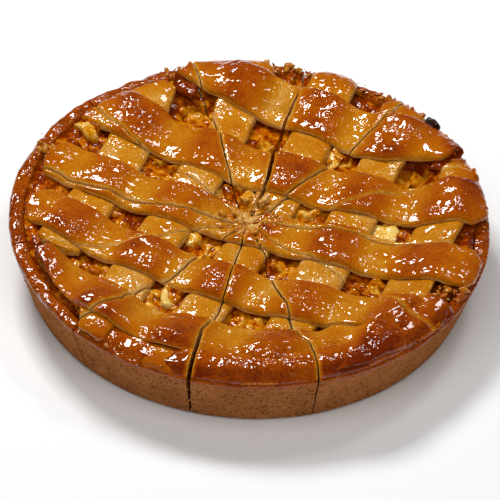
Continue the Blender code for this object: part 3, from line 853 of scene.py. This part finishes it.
def apple_dice(x, y, size, rise, tilt, turn_angle, pale):
    """One cooked dice of apple, half sunk in the syrup."""
    mesh = cube.copy()
    tilted = Matrix.Rotation(tilt[0], 3, "X") @ Matrix.Rotation(tilt[1], 3, "Y")
    turned = Matrix.Rotation(turn_angle, 3, "Z") @ tilted
    height = float(filling_top(np.array(math.hypot(x, y)))) + rise - size[2] / 2
    points = (read_points(mesh) * np.array(size)) @ np.array(turned).T + np.array((x, y, height))
    points += MM * np.stack([1.3 * lumps(points, 8 * MM, 26 + axis) for axis in range(3)], axis=1)
    write_points(mesh, points)
    write_shade(mesh, "pale", np.full(len(points), pale))
    return mesh


dice = []
for x, y, long, wide, deep, rise, turn_deg, pale in OPEN_CHUNKS:
    size = np.array((long, wide, deep)) * MM
    dice.append(apple_dice(x * MM, y * MM, size, rise * MM, (0.08, -0.1), math.radians(turn_deg), pale))
for x, y in openings():
    for _ in range(DICE_IN_OPENING):
        spread, way = DICE_SPREAD * math.sqrt(draw.uniform(0, 1)), draw.uniform(0, FULL_TURN)
        size = draw.uniform((6, 6, 6), (13, 11, 9), 3) * MM
        rise = draw.uniform(0.5, 4.0) * MM
        from_holes = [math.hypot(x - hole_x * MM, y - hole_y * MM) for hole_x, hole_y, *_ in HOLES]
        if min(from_holes) < HOLE_REACH:
            rise -= HOLE_SINK
        pale = draw.uniform(0.1, 0.75)
        dice.append(apple_dice(x + spread * math.cos(way), y + spread * math.sin(way), size, rise,
                               draw.uniform(-0.5, 0.5, 2), draw.uniform(0, 3), pale))
dice_whole = join_meshes("dice", dice)
points = read_points(dice_whole)
for axis in range(3):
    points[:, axis] += MM * (1.2 * lumps(points, 5 * MM, 30 + axis) + 0.6 * lumps(points, 2 * MM, 33 + axis))
write_points(dice_whole, points)
write_shade(dice_whole, "top", np.zeros(len(points)))
slice_fillings = []
for number in range(SLICES):
    parts = [slice_of(syrup_whole, number), slice_of(dice_whole, number)]
    slice_fillings.append(join_meshes(f"filling_{number + 1:02d}", [mesh for mesh in parts if mesh]))
print("faces of filling", sum(len(mesh.polygons) for mesh in slice_fillings))

# %% [markdown]
# ## Helpers for the finishes
# Every finish here is a small tree of nodes. These helpers add one node each and hand back
# the socket that the next one needs, so a finish reads like a recipe.

# %% Write the node helpers
def group_of(name, inputs, outputs):
    """An empty shader node group with named sockets."""
    group = bpy.data.node_groups.new(name, "ShaderNodeTree")
    for label, kind, value in inputs:
        socket = group.interface.new_socket(label, in_out="INPUT", socket_type=kind)
        if value is not None:
            socket.default_value = value
    for label, kind in outputs:
        group.interface.new_socket(label, in_out="OUTPUT", socket_type=kind)
    return group, group.nodes.new("NodeGroupInput"), group.nodes.new("NodeGroupOutput")


def noise_node(tree, place, scale, detail, rough=0.5):
    """A noise texture on the given coordinates, scale in lumps per metre."""
    node = tree.nodes.new("ShaderNodeTexNoise")
    node.inputs["Scale"].default_value = scale
    node.inputs["Detail"].default_value = detail
    node.inputs["Roughness"].default_value = rough
    tree.links.new(place, node.inputs["Vector"])
    return node.outputs["Fac"]


def math_node(tree, operation, first, second=None):
    """One arithmetic node; numbers and sockets both work."""
    node = tree.nodes.new("ShaderNodeMath")
    node.operation = operation
    for index, value in enumerate((first, second)):
        if value is None:
            continue
        if isinstance(value, (int, float)):
            node.inputs[index].default_value = value
        else:
            tree.links.new(value, node.inputs[index])
    return node.outputs[0]


def range_node(tree, value, low, high, out_low=0.0, out_high=1.0):
    """Maps one range onto another and clamps it."""
    node = tree.nodes.new("ShaderNodeMapRange")
    tree.links.new(value, node.inputs["Value"])
    node.inputs["From Min"].default_value = low
    node.inputs["From Max"].default_value = high
    node.inputs["To Min"].default_value = out_low
    node.inputs["To Max"].default_value = out_high
    return node.outputs["Result"]


def ramp_node(tree, value, stops):
    """A colour ramp through (position, colour) stops."""
    node = tree.nodes.new("ShaderNodeValToRGB")
    ramp = node.color_ramp
    while len(ramp.elements) < len(stops):
        ramp.elements.new(0.5)
    for element, (position, colour) in zip(ramp.elements, stops):
        element.position = position
        element.color = (*colour, 1)
    tree.links.new(value, node.inputs["Fac"])
    return node.outputs["Color"]


MIX_FIRST, MIX_SECOND, MIX_RESULT = 6, 7, 2


def mix_node(tree, share, first, second):
    """Blends two colours; the second one shows where the share is 1."""
    node = tree.nodes.new("ShaderNodeMix")
    node.data_type = "RGBA"
    tree.links.new(share, node.inputs["Factor"])
    for index, colour in ((MIX_FIRST, first), (MIX_SECOND, second)):
        if isinstance(colour, tuple):
            node.inputs[index].default_value = (*colour, 1)
        else:
            tree.links.new(colour, node.inputs[index])
    return node.outputs[MIX_RESULT]


def new_finish(name):
    """A material with its tree, shader, and object coordinates."""
    made = bpy.data.materials.new(name)
    made.use_nodes = True
    tree = made.node_tree
    place = tree.nodes.new("ShaderNodeTexCoord").outputs["Object"]
    return made, tree, tree.nodes["Principled BSDF"], place


def stored(tree, name):
    """A number stored on the mesh."""
    node = tree.nodes.new("ShaderNodeAttribute")
    node.attribute_name = name
    return node.outputs["Fac"]


def use_group(tree, group, **values):
    """Places an effect group and feeds it."""
    node = tree.nodes.new("ShaderNodeGroup")
    node.node_tree = group
    for label, value in values.items():
        if isinstance(value, (int, float)):
            node.inputs[label].default_value = value
        else:
            tree.links.new(value, node.inputs[label])
    return node


def bump(tree, height, distance):
    """A bump node on a height."""
    node = tree.nodes.new("ShaderNodeBump")
    node.inputs["Distance"].default_value = distance
    tree.links.new(height, node.inputs["Height"])
    return node.outputs["Normal"]


def set_surface(shader, roughness, specular, coat, coat_roughness):
    """The plain numbers of a finish."""
    shader.inputs["Roughness"].default_value = roughness
    shader.inputs["Specular IOR Level"].default_value = specular
    shader.inputs["Coat Weight"].default_value = coat
    shader.inputs["Coat Roughness"].default_value = coat_roughness


print("node helpers are ready")


# %% [markdown]
# ## Baked dough
# Dough turns from cream to gold, orange brown and dark brown in the oven, faster where it
# stands out. How far each spot is baked was stored on the mesh. A colour ramp turns that
# number into a colour, and two noises break it up into clouds and freckles. Several
# finishes need this, so it is a group, and it gives out the fine grain of the dough too.

# %% Build the dough group
BAKED = (
    (0.0, (0.64, 0.365, 0.105)), (0.18, (0.52, 0.203, 0.006)), (0.45, (0.43, 0.115, 0.0)),
    (0.75, (0.33, 0.058, 0.0)), (1.0, (0.15, 0.015, 0.0)))
dough, dough_in, dough_out = group_of(
    "baked_dough", [("Place", "NodeSocketVector", None), ("Bake", "NodeSocketFloat", 0.5)],
    [("Colour", "NodeSocketColor"), ("Height", "NodeSocketFloat")])
place = dough_in.outputs["Place"]
clouds = range_node(dough, noise_node(dough, place, 90, 5, 0.6), 0.3, 0.7, -0.12, 0.12)
freckles = range_node(dough, noise_node(dough, place, 650, 3, 0.8), 0.33, 0.67, -0.14, 0.14)
clouded = math_node(dough, "ADD", dough_in.outputs["Bake"], clouds)
spot_bake = math_node(dough, "ADD", clouded, freckles)
dough.links.new(ramp_node(dough, spot_bake, BAKED), dough_out.inputs["Colour"])
dimples = math_node(dough, "MULTIPLY", noise_node(dough, place, 320, 3), 2.0)
grainy = math_node(dough, "ADD", noise_node(dough, place, 1400, 3), dimples)
dough.links.new(grainy, dough_out.inputs["Height"])
print("dough goes through", len(BAKED), "colours")


# %% [markdown]
# ## Bubbly glaze
# The shine is a thin sugar glaze that was brushed on hot, so it dried full of small
# bubbles, in some patches more than in others. A smooth coat would mirror each light as
# one big spot. Bubbles about three millimetres apart break the spot into the sparkle of
# the photo. Their depth follows a slow patchy noise.

# %% Build the glaze group
glaze, glaze_in, glaze_out = group_of(
    "bubbly_glaze", [("Place", "NodeSocketVector", None)], [("Height", "NodeSocketFloat")])
place = glaze_in.outputs["Place"]
patches = range_node(glaze, noise_node(glaze, place, 75, 2), 0.46, 0.62)
bubbles = noise_node(glaze, place, 330, 1)
swell = noise_node(glaze, place, 120, 1)
bubbling = math_node(glaze, "MULTIPLY", bubbles, math_node(glaze, "ADD", patches, 0.12))
glaze.links.new(math_node(glaze, "ADD", bubbling, swell), glaze_out.inputs["Height"])
print("effect groups", [group.name for group in bpy.data.node_groups])


# %% [markdown]
# ## Glazed and cut dough
# The glaze is the coat of the shader, and only the coat gets the bubbles: the dough below
# stays matte, with no shine of its own. Where the knife opened the strips, the same dough
# is paler and has no glaze.

# %% Mix the dough finishes
glazed_dough, tree, shader, place = new_finish("glazed_dough")
baked = use_group(tree, dough, Place=place, Bake=stored(tree, "bake"))
wet = use_group(tree, glaze, Place=place)
tree.links.new(baked.outputs["Colour"], shader.inputs["Base Color"])
tree.links.new(bump(tree, baked.outputs["Height"], 0.2 * MM), shader.inputs["Normal"])
tree.links.new(bump(tree, wet.outputs["Height"], 1.1 * MM), shader.inputs["Coat Normal"])
set_surface(shader, 0.6, 0.0, 1.0, 0.02)

cut_dough, tree, shader, place = new_finish("cut_dough")
baked = use_group(tree, dough, Place=place, Bake=0.3)
tree.links.new(baked.outputs["Colour"], shader.inputs["Base Color"])
tree.links.new(bump(tree, baked.outputs["Height"], 0.4 * MM), shader.inputs["Normal"])
shader.inputs["Roughness"].default_value = 0.85
print("dough finishes", glazed_dough.name, cut_dough.name)


# %% [markdown]
# ## The wall
# The wall baked against the tin, so it is dry, even and brown, with sandy grain and dark
# pores. Glaze ran over its top edge. One finish does both, and the number "glazed" on the
# mesh blends from the bare wall to the glazed edge along an uneven line.

# %% Mix the wall finish
PORE_BROWN = (0.10, 0.035, 0.014)
WALL_BROWNS = (
    (0.32, (0.23, 0.076, 0.022)), (0.5, (0.34, 0.122, 0.038)), (0.68, (0.47, 0.19, 0.066)))
baked_crust, tree, shader, place = new_finish("baked_crust")
glazed_share = stored(tree, "glazed")
pores = range_node(tree, noise_node(tree, place, 560, 2, 0.6), 0.32, 0.40)
fine_grain = noise_node(tree, place, 900, 4, 0.75)
broad = math_node(tree, "MULTIPLY", noise_node(tree, place, 60, 3, 0.6), 0.4)
tone = math_node(tree, "ADD", broad, math_node(tree, "MULTIPLY", fine_grain, 0.6))
bare_wall = mix_node(tree, pores, PORE_BROWN, ramp_node(tree, tone, WALL_BROWNS))
baked = use_group(tree, dough, Place=place, Bake=0.8)
wall_colour = mix_node(tree, glazed_share, bare_wall, baked.outputs["Colour"])
tree.links.new(wall_colour, shader.inputs["Base Color"])
relief = math_node(tree, "ADD", pores, math_node(tree, "MULTIPLY", fine_grain, 0.5))
tree.links.new(bump(tree, relief, 0.7 * MM), shader.inputs["Normal"])
wet = use_group(tree, glaze, Place=place)
tree.links.new(bump(tree, wet.outputs["Height"], 1.3 * MM), shader.inputs["Coat Normal"])
set_surface(shader, 0.8, 0.0, 0.0, 0.03)
tree.links.new(range_node(tree, glazed_share, 0, 1, 0.8, 0.5), shader.inputs["Roughness"])
tree.links.new(math_node(tree, "MULTIPLY", glazed_share, 0.9), shader.inputs["Coat Weight"])

crumbly, tree, shader, place = new_finish("crumbly_crust")
baked = use_group(tree, dough, Place=place, Bake=stored(tree, "bake"))
tree.links.new(baked.outputs["Colour"], shader.inputs["Base Color"])
tree.links.new(bump(tree, baked.outputs["Height"], 0.4 * MM), shader.inputs["Normal"])
set_surface(shader, 0.75, 0.2, 0.5, 0.15)
print("crust finishes", baked_crust.name, crumbly.name)


# %% [markdown]
# ## Apple in syrup
# Cooked apple is pale yellow where a cut face looks out, and amber to dark red where the
# syrup is deep. How pale each dice is was stored on the mesh, and a cloudy noise lets the
# syrup stain it. A wet coat with its own larger ripples gives the glints.

# %% Mix the apple finish
SYRUP_TO_APPLE = (
    (0.0, (0.17, 0.018, 0.0)), (0.2, (0.38, 0.07, 0.0)), (0.45, (0.53, 0.17, 0.0)),
    (0.7, (0.66, 0.31, 0.02)), (1.0, (0.78, 0.53, 0.14)))
apple_filling, tree, shader, place = new_finish("apple_in_syrup")
stain = range_node(tree, noise_node(tree, place, 230, 4, 0.6), 0.3, 0.7, -0.42, 0.36)
tone = math_node(tree, "ADD", stored(tree, "pale"), stain)
tree.links.new(ramp_node(tree, tone, SYRUP_TO_APPLE), shader.inputs["Base Color"])
tree.links.new(bump(tree, noise_node(tree, place, 420, 3, 0.55), 0.9 * MM), shader.inputs["Normal"])
tree.links.new(bump(tree, noise_node(tree, place, 260, 1), 0.9 * MM), shader.inputs["Coat Normal"])
set_surface(shader, 0.6, 0.0, 0.6, 0.02)
print("apple finish", apple_filling.name)


# %% [markdown]
# ## Raisin skin
# A baked raisin is nearly black, with a little brown where the skin is thin, and half shiny.

# %% Mix the raisin finish
RAISIN_BROWNS = ((0.35, (0.006, 0.002, 0.001)), (0.7, (0.045, 0.008, 0.003)))
raisin_skin, tree, shader, place = new_finish("raisin_skin")
skin_colour = ramp_node(tree, noise_node(tree, place, 500, 3), RAISIN_BROWNS)
tree.links.new(skin_colour, shader.inputs["Base Color"])
tree.links.new(bump(tree, noise_node(tree, place, 900, 3), 0.3 * MM), shader.inputs["Normal"])
set_surface(shader, 0.5, 0.15, 0.5, 0.06)
print("materials", [made.name for made in bpy.data.materials])

# %% [markdown]
# ## Put the slices together
# A cut pie is still one body: nothing holds the slices but their own weight, so they all
# ride on the same root. Each slice gets three pieces, and each piece stands for one or two
# of its solids. The second finish in a pair is for the faces that the knife opened.

# %% Place the slices
def place_piece(name, mesh, finishes, nodes):
    """Makes an object of a mesh, with its finishes, riding on the pie."""
    smooth_faces(mesh)
    mesh.materials.clear()
    for finish in finishes:
        mesh.materials.append(finish)
    piece = link(bpy.data.objects.new(name, mesh))
    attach(piece, "root")
    if nodes:
        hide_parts(*nodes)
    return piece


doughs, crusts = (glazed_dough, cut_dough), (baked_crust, cut_dough)
apples = (apple_filling, apple_filling)
for number in range(SLICES):
    label = f"slice_{number + 1:02d}"
    tops = [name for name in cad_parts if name.startswith(label + "_lattice")]
    place_piece(label + "_strips", slice_strips[number], doughs, tops)
    place_piece(label + "_shell", slice_crusts[number], crusts, [label + "_crust"])
    place_piece(label + "_apple", slice_fillings[number], apples, [label + "_filling"])
print("slices placed", len(slice_strips))


# %% [markdown]
# ## The raisin on the rim
# One raisin was pushed up by the filling and dried on the rim at the back right. It starts
# as a ball. Broad lumps dent it, and the absolute value of a second noise gives the sharp
# valleys of a wrinkled skin.

# %% Wrinkle the raisin
RAISIN_HALF = np.array((6.0, 3.8, 3.4)) * MM
RAISIN_PLACE = np.array((105.5, 88.5, 42.6)) * MM
RAISIN_TURN = math.radians(-48)
raisin_bm = bmesh.new()
bmesh.ops.create_icosphere(raisin_bm, subdivisions=5, radius=1)
raisin_mesh = bpy.data.meshes.new("raisin_skin")
raisin_bm.to_mesh(raisin_mesh)
raisin_bm.free()
points = read_points(raisin_mesh)
wrinkle = 0.2 * lumps(points, 0.8, 60) - 0.28 * np.abs(lumps(points, 0.42, 61))
wrinkle += 0.05 * lumps(points, 0.15, 62)
points *= (1 + wrinkle)[:, None] * RAISIN_HALF
turned = np.array(Matrix.Rotation(RAISIN_TURN, 3, "Z"))
write_points(raisin_mesh, points @ turned.T + RAISIN_PLACE)
place_piece("raisin_on_rim", raisin_mesh, (raisin_skin,), ["raisin"])
print("raisin is", round(2 * float(RAISIN_HALF[0]) / MM), "mm long")


# %% [markdown]
# ## Crumbs on the rim
# Where the crust broke while the tin came off, the rim is torn and carries crumbs. A
# crumb is a small ball with every point moved in or out, then stretched and turned. Small
# crumbs are far more common than large ones, so the size is drawn with a power. Each band
# of the rim has its own share: first and last angle, inner and outer radius, how many
# crumbs, and how large the largest may be.

# %% Scatter the rim crumbs
# Angles in degrees, the rest in millimetres.
RIM_BANDS = (
    (24, 66, 131, 138.5, 190, 5.2), (68, 116, 132, 138.5, 150, 4.6), (157, 163, 124, 137, 60, 5.5),
    (-30, -14, 122, 138, 90, 5.0), (-12, 20, 132, 138, 26, 2.4), (118, 215, 131, 139, 40, 1.6),
    (233, 252, 128, 138, 60, 3.2),
)
SMALLEST_CRUMB = 0.8
LARGE_CRUMB = 2


def crumb(x, y, z, size, bake, detail=1):
    """One broken crumb of crust; place and size in millimetres."""
    bm = bmesh.new()
    bmesh.ops.create_icosphere(bm, subdivisions=detail, radius=0.5)
    mesh = bpy.data.meshes.new("crumb")
    bm.to_mesh(mesh)
    bm.free()
    stretch = chance.uniform((0.9, 0.6, 0.3), (1.6, 1.1, 0.6)) * size * MM
    turn_angle = chance.uniform(0, FULL_TURN)
    spin = np.array(Matrix.Rotation(turn_angle, 3, Vector(chance.normal(size=3)).normalized()))
    broken = 1 + chance.uniform(-0.28, 0.28, len(mesh.vertices))
    points = read_points(mesh) * broken[:, None] * stretch
    write_points(mesh, points @ spin.T + np.array((x, y, z)) * MM)
    write_shade(mesh, "bake", np.full(len(mesh.vertices), bake))
    return mesh


def around(degrees, radius):
    """The x and y of a spot on the round pie."""
    return radius * math.cos(math.radians(degrees)), radius * math.sin(math.radians(degrees))


def rim_top(angle):
    """Height of the pie's edge in millimetres: higher where it is rolled or torn."""
    return 41.5 if 150 < angle < 170 or angle < 112 else 40


chance = np.random.default_rng(30)
rim_bits = []
for low, high, near, far, count, largest in RIM_BANDS:
    for _ in range(count):
        angle, radius = chance.uniform(low, high), chance.uniform(near, far)
        size = SMALLEST_CRUMB + (largest - SMALLEST_CRUMB) * chance.uniform(0, 1) ** 2.2
        height = rim_top(angle) + chance.uniform(-1.8, 0.9)
        detail = 2 if size > LARGE_CRUMB else 1
        rim_bits.append(crumb(*around(angle, radius), height, size, chance.uniform(0.05, 0.75), detail))
place_piece("rim_crumbs", join_meshes("rim_crumbs", rim_bits), (crumbly,), [])
print("rim crumbs", len(rim_bits))


# %% [markdown]
# ## Crumbs on the wall
# The wall is dry and sandy, and single grains cling to it. The knife pushes some out of
# the crust, so four in ten hang beside a cut; the others lie anywhere, mostly near the top.

# %% Scatter the wall crumbs
WALL_CRUMBS = 230
SHARE_BESIDE_CUT = 0.4
wall_bits = []
for _ in range(WALL_CRUMBS):
    beside_cut = chance.uniform() < SHARE_BESIDE_CUT
    if beside_cut:
        angle = CUTS[int(chance.integers(SLICES))][0] + chance.normal() * 0.7
    else:
        angle = chance.uniform(0, 360)
    height = chance.uniform(2, 38) if beside_cut else 38 - 30 * chance.uniform(0, 1) ** 2
    radius = (BASE_RADIUS + wall_lean * height * MM / WALL_HEIGHT) / MM + 0.1
    size = chance.uniform(0.5, 1.5)
    wall_bits.append(crumb(*around(angle, radius), height, size, chance.uniform(0.3, 0.9)))
place_piece("wall_crumbs", join_meshes("wall_crumbs", wall_bits), (crumbly,), [])
print("wall crumbs", len(wall_bits))


# %% [markdown]
# ## The broken middle
# All cuts meet in the middle, where the tips of the slices break up into splinters of
# dough that point outwards, with crumbs between them. The splinters are flat stretched
# cubes. Six in ten of the crumbs lie along a cut.

# %% Heap up the splinters
SPLINTERS = 16
MIDDLE_CRUMBS = 260
shards = []
for _ in range(SPLINTERS):
    angle, radius = chance.uniform(0, FULL_TURN), 1.5 + 17 * chance.uniform() ** 1.1
    mesh = cube.copy()
    size = np.array((chance.uniform(5, 13), chance.uniform(2, 5), chance.uniform(1.6, 3.2))) * MM
    turned = Matrix.Rotation(angle + chance.normal() * 0.35, 3, "Z")
    turned = turned @ Matrix.Rotation(chance.uniform(-0.7, 0.2), 3, "Y")
    turned = turned @ Matrix.Rotation(chance.normal() * 0.4, 3, "X")
    spot = np.array((radius * math.cos(angle), radius * math.sin(angle))) * MM
    height = float(strip_floor(*spot)) + (10.2 + chance.uniform(-2.2, 1.4)) * MM
    points = (read_points(mesh) * size) @ np.array(turned).T + np.array((*spot, height))
    points += MM * np.stack([0.9 * lumps(points, 2.6 * MM, 110 + axis) for axis in range(3)], axis=1)
    write_points(mesh, points)
    write_shade(mesh, "bake", chance.uniform(0.0, 0.3) + 0.2 * lumps(points, 3 * MM, 115))
    shards.append(mesh)
for _ in range(MIDDLE_CRUMBS):
    angle, radius = chance.uniform(0, FULL_TURN), 1 + 22 * chance.uniform() ** 1.2
    if chance.uniform() < 0.6:
        angle = math.radians(CUTS[int(chance.integers(SLICES))][0]) + chance.normal() * 0.08
    x, y = radius * math.cos(angle), radius * math.sin(angle)
    height = float(strip_floor(x * MM, y * MM)) / MM + 7.2 + 3.8 * float(hump(x * MM, y * MM))
    height += chance.uniform(-0.6, 0.5)
    shards.append(crumb(x, y, height, chance.uniform(0.7, 2.4), chance.uniform(0, 0.35)))
place_piece("centre_shards", join_meshes("centre_shards", shards), (crumbly,), [])
print("splinters and crumbs in the middle", len(shards))


# %% [markdown]
# ## The loose flake
# At the right a flake of glazed dough stands up from the rim, a little taller than the rest
# of the edge. It is one soft cube pressed flat, leant and roughened.

# %% Stand up the flake
FLAKE_SIZE = np.array((1.8, 9.5, 8.5)) * MM
FLAKE_PLACE = np.array((131.6, 44, 41.8)) * MM
flake = cube.copy()
lean = Matrix.Rotation(math.radians(18), 3, "Z") @ Matrix.Rotation(math.radians(-8), 3, "Y")
points = (read_points(flake) * FLAKE_SIZE) @ np.array(lean).T + FLAKE_PLACE
points += MM * np.stack([0.8 * lumps(points, 3 * MM, 120 + axis) for axis in range(3)], axis=1)
write_points(flake, points)
write_shade(flake, "bake", 0.55 + 0.2 * lumps(points, 3 * MM, 124))
place_piece("rim_flake", flake, (glazed_dough,), [])
